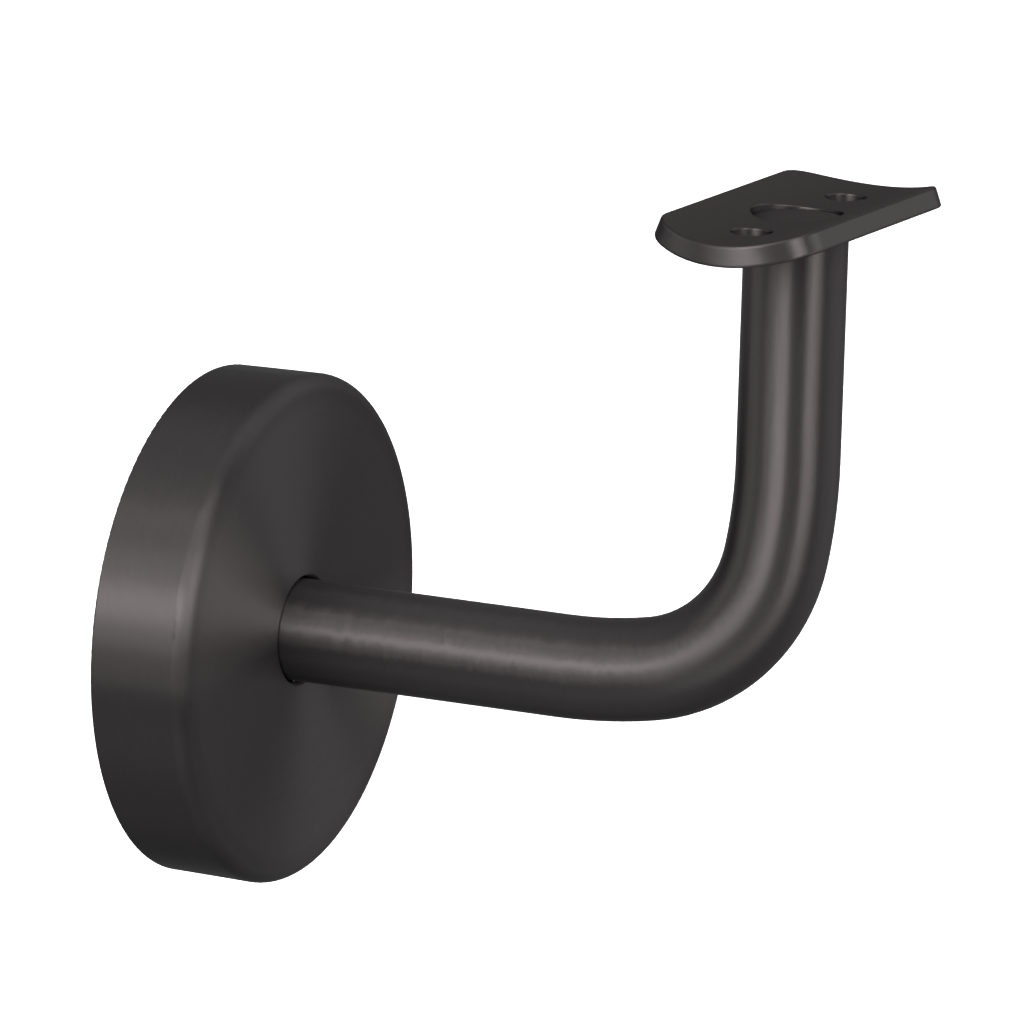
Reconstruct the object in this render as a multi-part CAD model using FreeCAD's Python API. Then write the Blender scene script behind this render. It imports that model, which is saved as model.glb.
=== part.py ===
import FreeCAD, Part
import math
import os

from FreeCAD import Vector

# Handrail bracket: a wall plate, a bent round arm welded to it, a curved
# saddle plate on the arm's upright end that carries the handrail, and a drawn
# cover that slides over the wall plate and hides its screws.
# Frame: origin at the centre of the wall plate's back face (the wall), +X away
# from the wall along the arm, +Y along the handrail, +Z up. Millimetres.

# ---------------------------------------------------------------- dimensions
BAR_D = 14.0              # round bar of the arm
SPIGOT_D = 12.4           # turned-down ends of the bar

LEG_X = 85.8              # wall face to the axis of the upright leg
SADDLE_H = 62.25          # arm axis to the underside of the saddle, at the leg
BEND_R = 22.4             # main bend, to the bar's axis
EASE_R = 69.0             # the bend eases in and out at this radius
EASE_A = 10.9             # degrees turned in each easing arc

COVER_D = 70.0            # drawn cover, outside diameter at its front
COVER_BACK_D = 69.6       # and at its back, so the rim tapers slightly
COVER_H = 14.4            # its depth
COVER_T = 1.5             # its sheet
COVER_EDGE_R = 2.2        # outside radius of its front edge
COVER_RIM_R = 0.35        # softened edges of its back rim
COVER_HOLE_D = 15.0       # hole round the bar
COVER_HOLE_R = 0.3        # softened front edge of that hole

PLATE_D = 66.0            # wall plate, a sliding fit inside the cover
PLATE_T = 5.0
PLATE_CHAMFER = 0.6
PLATE_PCD = 46.0          # three screw holes on this circle
PLATE_HOLE_D = 7.0
PLATE_HOLE_N = 3
PLATE_HOLE_CHAMFER = 0.4

WELD_LEG = 2.6            # fillet weld between the bar and the wall plate
WELD_THROAT_SAG = 0.35    # how far its face is hollowed

SADDLE_W = 21.9           # saddle plate, across the top edges
SADDLE_L = 52.3           # its overall length along the rail
SADDLE_Y = 0.7            # it sits this far off the leg's axis, along the rail
SADDLE_T = 3.0            # its sheet
SADDLE_R = 30.0           # radius of its hollow top
SADDLE_END_R = 14.0       # plan radius of its two rounded ends
SADDLE_CORNER_R = 6.2     # plan radius that blends the ends into the sides
SADDLE_EDGE = 0.45        # softened edges all round
SADDLE_HOLE_D = 5.5       # two rail screw holes
SADDLE_HOLE_PITCH = 30.0
SADDLE_HOLE_EDGE = 0.25    # softened edges of the screw holes
SADDLE_BORE_EDGE = 0.2     # softened top edge of the middle hole
SPIGOT_RECESS = 0.3       # the leg's end lies this far below the hollow

X = Vector(1, 0, 0)
Y = Vector(0, 1, 0)
Z = Vector(0, 0, 1)
O = Vector(0, 0, 0)


def line(a, b):
    return Part.LineSegment(a, b).toShape()


def arc(a, mid, b):
    return Part.Arc(a, mid, b).toShape()


def revolve_x(edges):
    """Solid of revolution about the X axis from a closed (x, radius) outline."""
    face = Part.Face(Part.Wire(edges))
    return face.revolve(O, X, 360.0)


def xr(x, r):
    """Point of a turned outline: x along the axis, r the radius, drawn in +Z."""
    return Vector(x, 0, r)


def corner(cx, cr, radius, a0, a1):
    """Quarter round of a turned outline, centre (cx, cr), angles in degrees."""
    pts = []
    for a in (a0, 0.5 * (a0 + a1), a1):
        t = math.radians(a)
        pts.append(xr(cx + radius * math.cos(t), cr + radius * math.sin(t)))
    return arc(*pts)


# --------------------------------------------------------------- arm, as bent
def arm_route():
    """Centreline of the arm in X-Z as (kind, start, end, centre, angle)."""
    turns = [(EASE_R, EASE_A), (BEND_R, 90.0 - 2.0 * EASE_A), (EASE_R, EASE_A)]
    x, z, h = 0.0, 0.0, 0.0
    arcs = []
    for radius, angle in turns:
        cx = x - radius * math.sin(h)
        cz = z + radius * math.cos(h)
        h2 = h + math.radians(angle)
        x2 = cx + radius * math.sin(h2)
        z2 = cz - radius * math.cos(h2)
        arcs.append([x, z, x2, z2, cx, cz, angle, h])
        x, z, h = x2, z2, h2
    shift = LEG_X - x
    for a in arcs:
        a[0] += shift
        a[2] += shift
        a[4] += shift
    return arcs


ROUTE = arm_route()
BEND_START_X = ROUTE[0][0]
BEND_END_Z = ROUTE[-1][3]


def disc(centre, normal, radius):
    return Part.Face(Part.Wire(Part.makeCircle(radius, centre, normal)))


def make_arm():
    r = 0.5 * BAR_D
    body = Part.makeCylinder(r, BEND_START_X - PLATE_T, Vector(PLATE_T, 0, 0), X)
    pieces = []
    for x, z, x2, z2, cx, cz, angle, h in ROUTE:
        start = disc(Vector(x, 0, z), Vector(math.cos(h), 0, math.sin(h)), r)
        # turning upward from +X to +Z is a turn about -Y
        pieces.append(start.revolve(Vector(cx, 0, cz), Vector(0, -1, 0), angle))
    top = SADDLE_H + SADDLE_T + 2.0
    pieces.append(Part.makeCylinder(r, top - BEND_END_Z,
                                    Vector(LEG_X, 0, BEND_END_Z), Z))
    for p in pieces:
        body = body.fuse(p)
    # the leg's end is coped to the saddle's rounded underside
    axis_z = SADDLE_H + SADDLE_T + SADDLE_R
    cope = Part.makeCylinder(SADDLE_R + SADDLE_T, 4.0 * BAR_D,
                             Vector(LEG_X, -2.0 * BAR_D, axis_z), Y)
    body = body.cut(cope)
    # turned-down ends: through the saddle, and through the wall plate
    rs = 0.5 * SPIGOT_D
    end_z = SADDLE_H + SADDLE_T - SPIGOT_RECESS
    upper = Part.makeCylinder(rs, end_z - (SADDLE_H - 3.0),
                              Vector(LEG_X, 0, SADDLE_H - 3.0), Z)
    lower = Part.makeCylinder(rs, PLATE_T + 3.0, O, X)
    body = body.fuse(upper).fuse(lower)
    return body.removeSplitter()


# ---------------------------------------------------------------- drawn cover
def make_cover():
    ro = 0.5 * COVER_D
    rb = 0.5 * COVER_BACK_D
    rh = 0.5 * COVER_HOLE_D
    h, t, e = COVER_H, COVER_T, COVER_EDGE_R
    ei = e - t
    q = COVER_RIM_R
    k = COVER_HOLE_R
    # taper of the rim, tangent to the back round and to the front edge
    lx, lr = h - e - q, (rb - q) - (ro - e)
    b = math.atan2(lx, lr) - math.acos((e - q) / math.hypot(lx, lr))
    sb, cb = math.sin(b), math.cos(b)
    bd = math.degrees(b)
    inner = -sb * (h - e) + cb * (ro - e) + ei    # inner wall's distance
    r3 = (inner + q + sb * q) / cb                # inner back round's centre

    def on(cx, cr, radius, side):
        return xr(cx - side * radius * sb, cr + side * radius * cb)

    edges = [
        line(xr(0, r3), xr(0, rb - q)),
        corner(q, rb - q, q, 180, 90 + bd),
        line(on(q, rb - q, q, 1), on(h - e, ro - e, e, 1)),
        corner(h - e, ro - e, e, 90 + bd, 0),
        line(xr(h, ro - e), xr(h, rh + k)),
        corner(h - k, rh + k, k, 0, -90),
        line(xr(h - k, rh), xr(h - t, rh)),
        line(xr(h - t, rh), xr(h - t, ro - e)),
        corner(h - e, ro - e, ei, 0, 90 + bd),
        line(on(h - e, ro - e, ei, 1), on(q, r3, q, -1)),
        corner(q, r3, q, -90 + bd, -180),
    ]
    return revolve_x(edges)


# ----------------------------------------------------------------- wall plate
def plate_hole_centres():
    out = []
    for i in range(PLATE_HOLE_N):
        a = math.radians(90.0 + 360.0 * i / PLATE_HOLE_N)
        out.append((0.5 * PLATE_PCD * math.cos(a), 0.5 * PLATE_PCD * math.sin(a)))
    return out


def make_wall_plate():
    r, t, c = 0.5 * PLATE_D, PLATE_T, PLATE_CHAMFER
    rs = 0.5 * SPIGOT_D
    edges = [
        line(xr(0, rs), xr(0, r - c)),
        line(xr(0, r - c), xr(c, r)),
        line(xr(c, r), xr(t - c, r)),
        line(xr(t - c, r), xr(t, r - c)),
        line(xr(t, r - c), xr(t, rs)),
        line(xr(t, rs), xr(0, rs)),
    ]
    plate = revolve_x(edges)
    rh, ch = 0.5 * PLATE_HOLE_D, PLATE_HOLE_CHAMFER
    for y, z in plate_hole_centres():
        hole = Part.makeCylinder(rh, t + 2.0, Vector(-1.0, y, z), X)
        lead = Part.makeCone(rh, rh + ch + 0.5, ch + 0.5,
                             Vector(t - ch, y, z), X)
        plate = plate.cut(hole).cut(lead)
    return plate


def make_weld():
    """Fillet weld round the bar on the wall plate's front, slightly hollow."""
    r, t, w = 0.5 * BAR_D, PLATE_T, WELD_LEG
    a = xr(t, r + w)
    b = xr(t + w, r)
    mid = xr(t + 0.5 * w - WELD_THROAT_SAG * 0.7071,
             r + 0.5 * w - WELD_THROAT_SAG * 0.7071)
    edges = [line(xr(t, r), a), arc(a, mid, b), line(b, xr(t, r))]
    return revolve_x(edges)


# --------------------------------------------------------------------- saddle
def saddle_outline(z):
    """Plan outline: straight sides, rounded ends, blended corners."""
    h = 0.5 * SADDLE_W
    half = 0.5 * SADDLE_L
    re, rc = SADDLE_END_R, SADDLE_CORNER_R
    cx = h - rc                                   # corner arc centre
    ec = half - re                                # end arc centre
    cy = ec + math.sqrt((re - rc) ** 2 - cx ** 2)
    a = math.atan2(cx, cy - ec)                   # where the two arcs meet, from +Y
    mid = 0.5 * (math.pi / 2 - a)

    def p(x, y):
        return Vector(LEG_X + x, SADDLE_Y + y, z)

    def end(s):
        # s = +1 far end, -1 near end, drawn so that the wire runs one way round
        c1 = (s * cx, s * cy)
        start = p(s * h, s * cy)
        m1 = p(c1[0] + s * rc * math.cos(mid), c1[1] + s * rc * math.sin(mid))
        j1 = p(s * re * math.sin(a), s * (ec + re * math.cos(a)))
        tip = p(0, s * half)
        j2 = p(-s * re * math.sin(a), s * (ec + re * math.cos(a)))
        m2 = p(-c1[0] - s * rc * math.cos(mid), c1[1] + s * rc * math.sin(mid))
        stop = p(-s * h, s * cy)
        return [arc(start, m1, j1), arc(j1, tip, j2), arc(j2, m2, stop)], start, stop

    far, f0, f1 = end(1)
    near, n0, n1 = end(-1)
    edges = far + [line(f1, n0)] + near + [line(n1, f0)]
    return Part.Wire(edges)


def make_saddle():
    axis_z = SADDLE_H + SADDLE_T + SADDLE_R
    # the hollow top: the lower part of a cylinder about the rail's direction
    drum = Part.makeCylinder(SADDLE_R, 80.0, Vector(LEG_X, -40.0, axis_z), Y)
    skin = None
    for f in drum.Faces:
        if isinstance(f.Surface, Part.Cylinder):
            skin = f
    prism = Part.Face(saddle_outline(SADDLE_H - 5.0)).extrude(Vector(0, 0, 20.0))
    top = skin.common(prism).Faces
    top = max(top, key=lambda f: f.Area)
    # the sheet lies outside the hollow, so its edges stand square to it
    for s in (1.0, -1.0):
        thick = top.makeOffsetShape(s * SADDLE_T, 1e-4, fill=True)
        plate = Part.Solid(Part.Shell([f.copy() for f in thick.Faces]))
        if plate.Volume < 0:
            plate.reverse()
        if plate.BoundBox.ZMin < SADDLE_H + 0.01:
            break
    return plate


def radii_about_rail(edge):
    """Distances of five points of an edge from the hollow's axis."""
    axis_z = SADDLE_H + SADDLE_T + SADDLE_R
    out = []
    for k in range(5):
        v = edge.valueAt(edge.FirstParameter
                         + (edge.LastParameter - edge.FirstParameter) * k / 4.0)
        out.append(math.hypot(v.x - LEG_X, v.z - axis_z))
    return out


def soften_outline(plate):
    """Round the edges that run along the top and the underside."""
    edges = []
    for e in plate.Edges:
        rr = radii_about_rail(e)
        if max(rr) - min(rr) < 0.02:
            edges.append(e)
    return plate.makeFillet(SADDLE_EDGE, edges).Solids[0]


def soften_hole(plate, y, radius, size, top_only):
    """Round a hole's edges where it meets the top, and the underside."""
    edges = []
    for e in plate.Edges:
        rr = radii_about_rail(e)
        mid_r = [math.hypot(e.valueAt(e.FirstParameter
                 + (e.LastParameter - e.FirstParameter) * k / 4.0).x - LEG_X,
                 e.valueAt(e.FirstParameter
                 + (e.LastParameter - e.FirstParameter) * k / 4.0).y - y)
                 for k in range(5)]
        if max(abs(m - radius) for m in mid_r) > 0.01:
            continue
        if max(rr) - min(rr) > 0.01:
            continue
        if top_only and rr[0] > SADDLE_R + 0.5 * SADDLE_T:
            continue
        edges.append(e)
    return plate.makeFillet(size, edges).Solids[0]


def saddle_with_edges():
    plate = soften_outline(make_saddle())
    below = SADDLE_H - 5.0
    r = 0.5 * SADDLE_HOLE_D
    for side in (-0.5, 0.5):
        y = SADDLE_Y + side * SADDLE_HOLE_PITCH
        plate = plate.cut(Part.makeCylinder(r, 20.0, Vector(LEG_X, y, below), Z))
        plate = soften_hole(plate.Solids[0], y, r, SADDLE_HOLE_EDGE, False)
    rs = 0.5 * SPIGOT_D
    plate = plate.cut(Part.makeCylinder(rs, 20.0, Vector(LEG_X, 0, below), Z))
    return soften_hole(plate.Solids[0], 0.0, rs, SADDLE_BORE_EDGE, True)


# ----------------------------------------------------------------------- main
def main():
    os.makedirs("parts", exist_ok=True)
    nodes = {
        "rosette_cover": make_cover(),
        "wall_plate": make_wall_plate(),
        "wall_plate_weld": make_weld(),
        "arm_bar": make_arm(),
        "saddle": saddle_with_edges(),
    }
    for name, shape in nodes.items():
        if shape.ShapeType != "Solid" and len(shape.Solids) == 1:
            shape = shape.Solids[0]
        bb = shape.BoundBox
        print("%-16s solids %d valid %s volume %9.1f mm3  box %s %s %s  %s %s %s" % (
            name, len(shape.Solids), shape.isValid(), shape.Volume,
            round(bb.XMin, 3), round(bb.YMin, 3), round(bb.ZMin, 3),
            round(bb.XMax, 3), round(bb.YMax, 3), round(bb.ZMax, 3)))
        shape.exportStep("parts/%s.step" % name)
    print("bend starts at X %.2f, ends at Z %.2f" % (BEND_START_X, BEND_END_Z))


main()
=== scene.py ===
import bpy
import math
from mathutils import Matrix, Vector

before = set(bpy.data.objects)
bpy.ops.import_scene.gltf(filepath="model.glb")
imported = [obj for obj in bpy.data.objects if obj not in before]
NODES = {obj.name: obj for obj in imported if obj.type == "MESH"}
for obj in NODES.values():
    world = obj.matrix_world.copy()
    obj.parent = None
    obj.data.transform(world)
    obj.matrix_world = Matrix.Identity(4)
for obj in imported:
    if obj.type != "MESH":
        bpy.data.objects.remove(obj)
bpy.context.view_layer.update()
scene = bpy.context.scene


# ------------------------------------------------------------------ camera
AZ, EL, ROLL = math.radians(25.641), math.radians(12.070), math.radians(1.783)
AIM = Vector((0.045322, 0.0, 0.020157))
DIST = 1.0 / 0.622
PX_PER_M = 7429.0
back = Vector((math.sin(AZ) * math.cos(EL), -math.cos(AZ) * math.cos(EL), math.sin(EL)))
right = Vector((math.cos(AZ), math.sin(AZ), 0.0))
up = back.cross(right)
r2 = right * math.cos(ROLL) + up * math.sin(ROLL)
u2 = up * math.cos(ROLL) - right * math.sin(ROLL)
cam_data = bpy.data.cameras.new("camera")
cam_data.sensor_width = 36.0
cam_data.lens = PX_PER_M * DIST / 1024.0 * 36.0
cam_data.shift_x, cam_data.shift_y = 0.0, 0.0
cam_data.clip_start, cam_data.clip_end = 0.1, 100.0
cam = bpy.data.objects.new("camera", cam_data)
scene.collection.objects.link(cam)
pos = AIM + back * DIST
cam.matrix_world = Matrix((
    (r2.x, u2.x, back.x, pos.x),
    (r2.y, u2.y, back.y, pos.y),
    (r2.z, u2.z, back.z, pos.z),
    (0, 0, 0, 1)))
scene.camera = cam


# ------------------------------------------------------------ node helpers
class Tree:
    """Small helper for building shader node trees."""

    def __init__(self, tree):
        self.t = tree
        tree.nodes.clear()

    def node(self, kind, **props):
        n = self.t.nodes.new(kind)
        for k, v in props.items():
            setattr(n, k, v)
        return n

    def link(self, a, b):
        self.t.links.new(a, b)

    def put(self, sock, v):
        if hasattr(v, "is_output") or isinstance(v, bpy.types.NodeSocket):
            self.link(v, sock)
        elif v is not None:
            sock.default_value = v

    def math(self, op, a, b=None, c=None, clamp=False):
        n = self.node("ShaderNodeMath", operation=op, use_clamp=clamp)
        self.put(n.inputs[0], a)
        if b is not None:
            self.put(n.inputs[1], b)
        if c is not None:
            self.put(n.inputs[2], c)
        return n.outputs[0]

    def vmath(self, op, a, b=None, scale=None):
        n = self.node("ShaderNodeVectorMath", operation=op)
        self.put(n.inputs[0], a)
        if b is not None:
            self.put(n.inputs[1], b)
        if scale is not None:
            self.put(n.inputs["Scale"], scale)
        return n.outputs["Value"] if op in ("LENGTH", "DOT_PRODUCT", "DISTANCE") else n.outputs[0]

    def xyz(self, v):
        n = self.node("ShaderNodeSeparateXYZ")
        self.link(v, n.inputs[0])
        return n.outputs[0], n.outputs[1], n.outputs[2]

    def vec(self, x, y, z):
        n = self.node("ShaderNodeCombineXYZ")
        for s, v in zip(n.inputs, (x, y, z)):
            self.put(s, v)
        return n.outputs[0]

    def noise(self, vec, scale, detail=2.0, rough=0.5, distort=0.0):
        n = self.node("ShaderNodeTexNoise")
        self.link(vec, n.inputs["Vector"])
        n.inputs["Scale"].default_value = scale
        n.inputs["Detail"].default_value = detail
        n.inputs["Roughness"].default_value = rough
        n.inputs["Distortion"].default_value = distort
        return n.outputs["Fac"]

    def span(self, v, a, b, lo=0.0, hi=1.0, smooth=True):
        n = self.node("ShaderNodeMapRange")
        n.interpolation_type = "SMOOTHSTEP" if smooth else "LINEAR"
        self.put(n.inputs[0], v)
        for i, q in zip((1, 2, 3, 4), (a, b, lo, hi)):
            n.inputs[i].default_value = q
        return n.outputs[0]

    def mix(self, f, a, b):
        n = self.node("ShaderNodeMix", data_type="RGBA")
        self.put(n.inputs[0], f)
        self.put(n.inputs[6], a)
        self.put(n.inputs[7], b)
        return n.outputs[2]


def material(name):
    m = bpy.data.materials.new(name)
    m.use_nodes = True
    return m, Tree(m.node_tree)


BASE = (0.0463, 0.0430, 0.0434, 1.0)


def metal(t, color, rough, aniso, tangent=None, normal=None, edge=0.6):
    """Dark brushed metal; color and rough may be sockets."""
    p = t.node("ShaderNodeBsdfPrincipled")
    t.put(p.inputs["Base Color"], color)
    p.inputs["Metallic"].default_value = 1.0
    t.put(p.inputs["Roughness"], rough)
    p.inputs["Anisotropic"].default_value = aniso
    p.inputs["Specular Tint"].default_value = (edge, edge, edge, 1.0)
    if tangent is not None:
        t.link(tangent, p.inputs["Tangent"])
    if normal is not None:
        t.link(normal, p.inputs["Normal"])
    o = t.node("ShaderNodeOutputMaterial")
    t.link(p.outputs[0], o.inputs[0])
    return p


def object_mm(t):
    """Object coordinates in millimetres, which are the row frame's."""
    c = t.node("ShaderNodeTexCoord")
    return t.vmath("SCALE", c.outputs["Object"], scale=1000.0)


def brushed(t, ring, grain, tilt, rough, mottle=0.10, aniso=0.93, normal=None,
            gain=1.0, edge=0.6):
    """Finish with grooves along ring.  grain is a noise vector in which the
    grooves are long; tilt sways the normal along the grooves, in radians, so
    that the reflections get the ragged edges of a brushed surface."""
    g = t.node("ShaderNodeNewGeometry")
    n0 = normal if normal is not None else g.outputs["Normal"]
    coarse = t.noise(grain, 1.0, 2.0, 0.55)
    fine = t.noise(t.vmath("SCALE", grain, scale=4.3), 1.0, 2.0, 0.6)
    sway = t.math("ADD", t.math("MULTIPLY_ADD", coarse, 2.0, -1.0),
                  t.math("MULTIPLY_ADD", fine, 1.2, -0.6))
    nn = t.vmath("NORMALIZE", t.vmath("ADD", n0, t.vmath(
        "SCALE", ring, scale=t.math("MULTIPLY", sway, tilt))))
    tang = t.vmath("NORMALIZE", t.vmath("CROSS_PRODUCT", ring, nn))
    r = t.math("MULTIPLY", rough, t.math("MULTIPLY_ADD", fine, 0.16, 0.92))
    tone = t.math("MULTIPLY_ADD", coarse, mottle, 1.0 - mottle / 2)
    tone = t.math("MULTIPLY", tone, t.math("MULTIPLY_ADD", fine, mottle, 1.0 - mottle / 2))
    tone = t.math("MULTIPLY", tone, gain)
    col = t.vmath("SCALE", t.vec(*BASE[:3]), scale=tone)
    return metal(t, col, r, aniso, tangent=tang, normal=nn, edge=edge)


# ---------------------------------------------------------------- materials
def cover_material():
    """Turned and brushed round its axis: face, rounded edge and rim."""
    m, t = material("cover_finish")
    p = object_mm(t)
    x, y, z = t.xyz(p)
    r = t.math("SQRT", t.math("ADD", t.math("MULTIPLY", y, y), t.math("MULTIPLY", z, z)))
    ring = t.vmath("NORMALIZE", t.vec(0.0, t.math("MULTIPLY", z, -1.0), y))
    along = t.math("ADD", x, t.math("MULTIPLY", r, -1.0))
    cy = t.math("DIVIDE", y, r)
    cz = t.math("DIVIDE", z, r)
    grain = t.vec(t.math("MULTIPLY", along, 1.6), t.math("MULTIPLY", cy, 9.0), t.math("MULTIPLY", cz, 9.0))
    # the face is brushed more coarsely than the rounded edge and the rim
    rough = t.span(r, 9.0, 31.0, 0.490, 0.462, smooth=False)
    rough = t.math("ADD", rough, t.span(r, 32.4, 33.8, 0.0, -0.068))
    # the inside keeps the duller drawn surface
    g = t.node("ShaderNodeNewGeometry")
    n = g.outputs["Normal"]
    nx, ny, nz = t.xyz(n)
    nr = t.math("ADD", t.math("MULTIPLY", ny, cy), t.math("MULTIPLY", nz, cz))
    inside = t.math("MAXIMUM", t.span(nx, -0.4, -0.6), t.span(nr, -0.4, -0.6))
    rough = t.math("MULTIPLY_ADD", inside, 0.14, rough)
    # painted light: the face gets 1.08 times the base colour and the rounded edge and rim 0.95, brightness tuned
    # into the colour instead of coming from the lamps; the inside is a darker, duller finish
    tone = t.math("ADD", t.span(r, 30.0, 33.0, 1.08, 0.95), t.math("MULTIPLY", inside, -0.15))
    brushed(t, ring, grain, 0.012, rough, mottle=0.14, gain=tone, aniso=0.97)
    return m


def arm_frame(t, p):
    """(distance along the arm, its direction there, angle round it)."""
    x, y, z = t.xyz(p)
    x0, zc1, r1, r2_ = 53.75, 69.0, 69.0, 22.4
    a1 = math.radians(10.9)
    cx2 = x0 + (r1 - r2_) * math.sin(a1)
    cz2 = r1 - (r1 - r2_) * math.cos(a1)
    leg_x = 85.8
    z_end = cz2 + (r1 - r2_) * math.sin(a1)

    def turn(cx, cz, lo, hi):
        a = t.math("ARCTAN2", t.math("SUBTRACT", x, cx), t.math("SUBTRACT", cz, z))
        return t.math("SUBTRACT", t.math("MINIMUM", t.math("MAXIMUM", a, lo), hi), lo)

    h1 = turn(x0, zc1, 0.0, a1)
    h2 = turn(cx2, cz2, a1, math.pi / 2 - a1)
    h3 = turn(leg_x - r1, z_end, math.pi / 2 - a1, math.pi / 2)
    h = t.math("ADD", t.math("ADD", h1, h2), h3)
    s = t.math("MINIMUM", x, x0)
    for ang, rad in ((h1, r1), (h2, r2_), (h3, r1)):
        s = t.math("ADD", s, t.math("MULTIPLY", ang, rad))
    s = t.math("ADD", s, t.math("MAXIMUM", t.math("SUBTRACT", z, z_end), 0.0))
    axis = t.vec(t.math("COSINE", h), 0.0, t.math("SINE", h))
    return s, axis, h


def arm_material():
    """Drawn bar, brushed round itself; its ends are ground."""
    m, t = material("bar_finish")
    p = object_mm(t)
    s, axis, h = arm_frame(t, p)
    g = t.node("ShaderNodeNewGeometry")
    n = g.outputs["Normal"]
    end = t.span(t.math("ABSOLUTE", t.vmath("DOT_PRODUCT", n, axis)), 0.75, 0.9)
    x, y, z = t.xyz(p)
    # the ends are ground flat, in line with the saddle's faces
    across = t.vec(t.math("SINE", h), 0.0, t.math("COSINE", h))
    ring = t.vmath("ADD", t.vmath("SCALE", t.vmath("CROSS_PRODUCT", axis, n), scale=t.math("SUBTRACT", 1.0, end)),
                   t.vmath("SCALE", across, scale=end))
    ring = t.vmath("NORMALIZE", ring)
    # noise vector: distance along the bar, and the direction round it
    nx, ny, nz = t.xyz(n)
    nu = t.vmath("DOT_PRODUCT", n, t.vec(t.math("MULTIPLY", t.math("SINE", h), -1.0), 0.0, t.math("COSINE", h)))
    # short marks round the arm, long fine lines up the leg
    per_s = t.span(h, 0.3, 1.4, 0.8, 0.10)
    per_n = t.span(h, 0.3, 1.4, 2.2, 10.0)
    grain = t.vec(t.math("MULTIPLY", s, per_s), t.math("MULTIPLY", ny, per_n), t.math("MULTIPLY", nu, per_n))
    tilt = t.span(h, 0.1, 1.3, 0.075, 0.030)
    rough = t.math("MULTIPLY_ADD", end, 0.19, 0.43)
    # painted light: the bar's colour is raised to 1.12 times the base, and its ends are lowered to 0.55, painted
    # shade on the end in the saddle's hole
    tone = t.math("MULTIPLY_ADD", end, -0.57, 1.12)
    brushed(t, ring, grain, tilt, rough, mottle=0.16, gain=tone)
    return m


def saddle_material():
    """Formed strip, linished along its edges and lightly across its faces."""
    m, t = material("saddle_finish")
    p = object_mm(t)
    g = t.node("ShaderNodeNewGeometry")
    n = g.outputs["Normal"]
    nx, ny, nz = t.xyz(n)
    flat = t.span(t.math("ABSOLUTE", nz), 0.72, 0.80)
    side = t.vmath("CROSS_PRODUCT", t.vec(0.0, 0.0, 1.0), n)
    ring = t.vmath("ADD", t.vmath("SCALE", side, scale=t.math("SUBTRACT", 1.0, flat)),
                   t.vmath("SCALE", t.vec(1.0, 0.0, 0.0), scale=flat))
    ring = t.vmath("NORMALIZE", ring)
    x, y, z = t.xyz(p)
    grain = t.vec(t.math("MULTIPLY", x, 0.5), t.math("MULTIPLY", y, 0.9), t.math("MULTIPLY", z, 1.6))
    rough = t.span(flat, 0.0, 1.0, 0.42, 0.62)
    # painted light: the long edges get 1.75 times the base colour, a painted highlight brighter than the ends,
    # and the faces 0.58 times, painted shade that keeps them dark
    tone = t.span(t.math("ABSOLUTE", nx), 0.80, 0.92, 1.0, 1.75)
    tone = t.math("MULTIPLY", tone, t.math("SUBTRACT", 1.0, flat))
    tone = t.math("MULTIPLY_ADD", flat, 0.58, tone)
    brushed(t, ring, grain, 0.02, rough, aniso=0.8, gain=tone, edge=0.45)
    return m


def bumped(t, height, depth_mm):
    """Normal for a height socket from 0 to 1 that is depth_mm deep."""
    b = t.node("ShaderNodeBump")
    b.inputs["Strength"].default_value = 1.0
    b.inputs["Distance"].default_value = depth_mm * 0.001
    t.link(height, b.inputs["Height"])
    return b.outputs[0]


def plate_material():
    """Hot-rolled plate with a blotched scale and a cut edge."""
    m, t = material("plate_finish")
    p = object_mm(t)
    x, y, z = t.xyz(p)
    r = t.math("SQRT", t.math("ADD", t.math("MULTIPLY", y, y), t.math("MULTIPLY", z, z)))
    blotch = t.noise(p, 0.11, 4.0, 0.6, 0.4)
    pits = t.noise(p, 1.7, 3.0, 0.65)
    cut = t.span(r, 32.4, 32.8)
    # the cut edge carries drag lines through the thickness
    a = t.math("ARCTAN2", z, y)
    drag = t.noise(t.vec(t.math("MULTIPLY", t.math("COSINE", a), 55.0),
                         t.math("MULTIPLY", t.math("SINE", a), 55.0), t.math("MULTIPLY", x, 0.25)), 1.0, 2.0, 0.5)
    height = t.math("ADD", t.math("MULTIPLY", pits, t.math("SUBTRACT", 1.0, cut)), t.math("MULTIPLY", drag, cut))
    rough = t.math("ADD", t.math("MULTIPLY_ADD", blotch, 0.22, 0.34), t.math("MULTIPLY", cut, 0.08))
    tone = t.math("MULTIPLY_ADD", blotch, 0.5, t.math("MULTIPLY_ADD", pits, 0.2, 0.95))
    col = t.vmath("SCALE", t.vec(*BASE[:3]), scale=tone)
    metal(t, col, rough, 0.0, normal=bumped(t, height, 0.03))
    return m


def weld_material():
    """Weld bead: curved ripples that follow each other round the bar."""
    m, t = material("weld_finish")
    p = object_mm(t)
    x, y, z = t.xyz(p)
    r = t.math("SQRT", t.math("ADD", t.math("MULTIPLY", y, y), t.math("MULTIPLY", z, z)))
    a = t.math("ARCTAN2", z, y)
    drift = t.noise(p, 0.5, 2.0, 0.5)
    across = t.math("SUBTRACT", r, 8.2)
    bow = t.math("MULTIPLY", t.math("MULTIPLY", across, across), 0.45)
    phase = t.math("ADD", t.math("MULTIPLY_ADD", a, 36.0, bow), t.math("MULTIPLY", drift, 9.0))
    ripple = t.math("MULTIPLY_ADD", t.math("SINE", phase), 0.5, 0.5)
    spots = t.noise(p, 2.6, 3.0, 0.6)
    height = t.math("MULTIPLY_ADD", ripple, 0.8, t.math("MULTIPLY", spots, 0.2))
    rough = t.math("ADD", t.math("MULTIPLY_ADD", ripple, -0.10, 0.40), t.math("MULTIPLY", spots, 0.12))
    tone = t.math("MULTIPLY_ADD", drift, 0.4, t.math("MULTIPLY_ADD", ripple, 0.25, 0.7))
    col = t.vmath("SCALE", t.vec(*BASE[:3]), scale=tone)
    metal(t, col, rough, 0.0, normal=bumped(t, height, 0.06))
    return m


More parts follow.
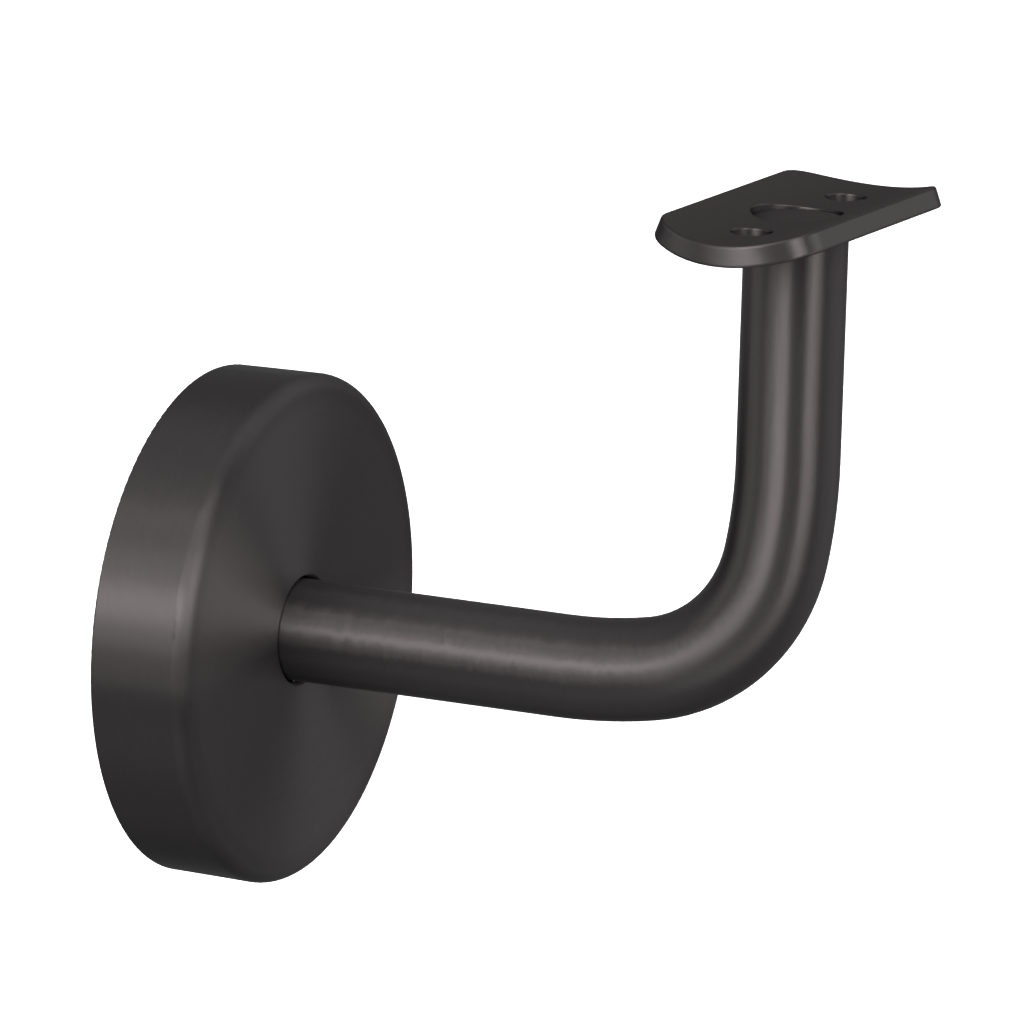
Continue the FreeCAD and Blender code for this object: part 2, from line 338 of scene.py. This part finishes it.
MATS = {
    "rosette_cover": cover_material(),
    "arm_bar": arm_material(),
    "saddle": saddle_material(),
    "wall_plate": plate_material(),
    "wall_plate_weld": weld_material(),
}
for name, mat in MATS.items():
    o = NODES[name]
    if not o.material_slots:
        o.data.materials.append(mat)
    for slot in o.material_slots:
        slot.material = mat

# -------------------------------------------------------------------- floor
bpy.ops.mesh.primitive_plane_add(size=60.0, location=(0, 0, -0.6))
floor = bpy.context.active_object
floor.name = "floor"
fm, t = material("floor")
d = t.node("ShaderNodeBsdfDiffuse")
d.inputs[0].default_value = (0.9, 0.9, 0.9, 1.0)
o = t.node("ShaderNodeOutputMaterial")
t.link(d.outputs[0], o.inputs[0])
floor.data.materials.append(fm)
floor.visible_glossy = False

# -------------------------------------------------------------------- light
# white studio room, a little darker below the object
world = bpy.data.worlds.new("world")
scene.world = world
world.use_nodes = True
t = Tree(world.node_tree)
tc = t.node("ShaderNodeTexCoord")
room = tc.outputs["Generated"]


def towards(az, el, start, full, amount):
    """0 beyond start degrees from the direction (az, el), and amount within full."""
    a, e = math.radians(az), math.radians(el)
    d = (math.sin(a) * math.cos(e), -math.cos(a) * math.cos(e), math.sin(e))
    c = t.vmath("DOT_PRODUCT", room, d)
    return t.span(c, math.cos(math.radians(start)), math.cos(math.radians(full)), 0.0, amount)


# azimuth, elevation, brightness of the room's soft light and dark sides
ROOM = (
    (-135.0, -60.0, 0.11), (-45.0, -60.0, 0.24), (45.0, -60.0, 0.40),
    (-30.0, -25.0, 0.20), (10.0, -25.0, 0.50), (130.0, -25.0, 0.41),
    (-110.0, 10.0, 0.26), (-70.0, 10.0, 0.60), (130.0, 10.0, 0.48),
    (170.0, 10.0, 0.19), (-105.0, 45.0, 0.18), (-60.0, 45.0, 0.15),
    (145.0, 45.0, 0.93), (0.0, 78.0, 1.19),
)
level = None
for az, el, amount in ROOM:
    part = towards(az, el, 50.0, 8.0, amount)
    level = part if level is None else t.math("ADD", level, part)
level = t.math("ADD", level, 0.25)
bg = t.node("ShaderNodeBackground")
bg.inputs["Color"].default_value = (1, 1, 1, 1)
t.link(level, bg.inputs["Strength"])
t.link(bg.outputs[0], t.node("ShaderNodeOutputWorld").inputs[0])


def wide(dist, degrees):
    return 2.0 * dist * math.tan(math.radians(degrees / 2.0))


def lamp(name, az, el, w_deg, h_deg, radiance, dist=4.0):
    """One window of a soft light bank, seen from the object under these angles."""
    a, e = math.radians(az), math.radians(el)
    dirn = Vector((math.sin(a) * math.cos(e), -math.cos(a) * math.cos(e), math.sin(e)))
    w, h = wide(dist, w_deg * math.cos(e)), wide(dist, h_deg)
    ld = bpy.data.lights.new(name, "AREA")
    ld.shape = "RECTANGLE"
    ld.size, ld.size_y = w, h
    ld.energy = radiance * math.pi * w * h
    ld.color = (1.04, 0.985, 0.985)
    ob = bpy.data.objects.new(name, ld)
    scene.collection.objects.link(ob)
    ob.location = AIM + dirn * dist
    ob.rotation_mode = "QUATERNION"
    ob.rotation_quaternion = dirn.to_track_quat("Z", "Y")
    ob.visible_camera = False
    return ob


# elevation and height of each row of windows, then azimuth, width and radiance
LEFT_BANK = (
    (48.0, 20.0, ((-12.0, 12.0, 4.8), (0.0, 12.0, 5.4), (12.0, 12.0, 1.8))),
    (30.0, 16.0, ((-26.0, 16.0, 1.4), (-12.0, 12.0, 4.2), (0.0, 12.0, 7.0),
                  (12.0, 12.0, 5.8), (26.0, 16.0, 1.4))),
    (15.0, 14.0, ((-26.0, 16.0, 3.7), (-12.0, 12.0, 8.4), (0.0, 12.0, 13.0),
                  (12.0, 12.0, 13.3), (26.0, 16.0, 1.1))),
    (2.0, 12.0, ((-43.0, 18.0, 1.1), (-26.0, 16.0, 3.1), (-12.0, 12.0, 2.8),
                 (0.0, 12.0, 4.4), (12.0, 12.0, 5.0))),
    (-12.0, 16.0, ((-26.0, 16.0, 0.7), (-12.0, 12.0, 1.6), (0.0, 12.0, 2.3),
                   (12.0, 12.0, 1.7))),
)
RIGHT_BANK = (
    (48.0, 20.0, ((40.0, 12.0, 1.7), (51.0, 10.0, 3.3), (61.0, 10.0, 5.3),
                  (71.0, 10.0, 3.7))),
    (30.0, 16.0, ((40.0, 12.0, 1.2), (51.0, 10.0, 1.5), (61.0, 10.0, 4.0),
                  (71.0, 10.0, 3.4), (82.0, 12.0, 0.5))),
    (15.0, 14.0, ((51.0, 10.0, 0.8), (61.0, 10.0, 8.4), (71.0, 10.0, 10.4),
                  (82.0, 12.0, 7.9))),
    (2.0, 12.0, ((61.0, 10.0, 4.9), (71.0, 10.0, 7.6), (82.0, 12.0, 6.2))),
    (-12.0, 16.0, ((61.0, 10.0, 3.4), (71.0, 10.0, 3.0))),
)
SIDE_BANK = ((10.0, 20.0, ((-66.0, 28.0, 2.2),)),)
for bank, rows in (("left", LEFT_BANK), ("right", RIGHT_BANK), ("side", SIDE_BANK)):
    for el, high, windows in rows:
        for az, broad, radiance in windows:
            lamp("%s_%d_%d" % (bank, el, az), az, el, broad, high, radiance)

# keeps the floor pale; metal doesn't mirror it
sun = bpy.data.lights.new("floor_wash", "SUN")
sun.energy = 2.8
sun.angle = math.radians(120.0)
wash = bpy.data.objects.new("floor_wash", sun)
scene.collection.objects.link(wash)
wash.visible_glossy = False

scene.view_settings.view_transform = "Standard"
scene.view_settings.look = "None"
scene.view_settings.exposure = 0.0
scene.view_settings.gamma = 1.0
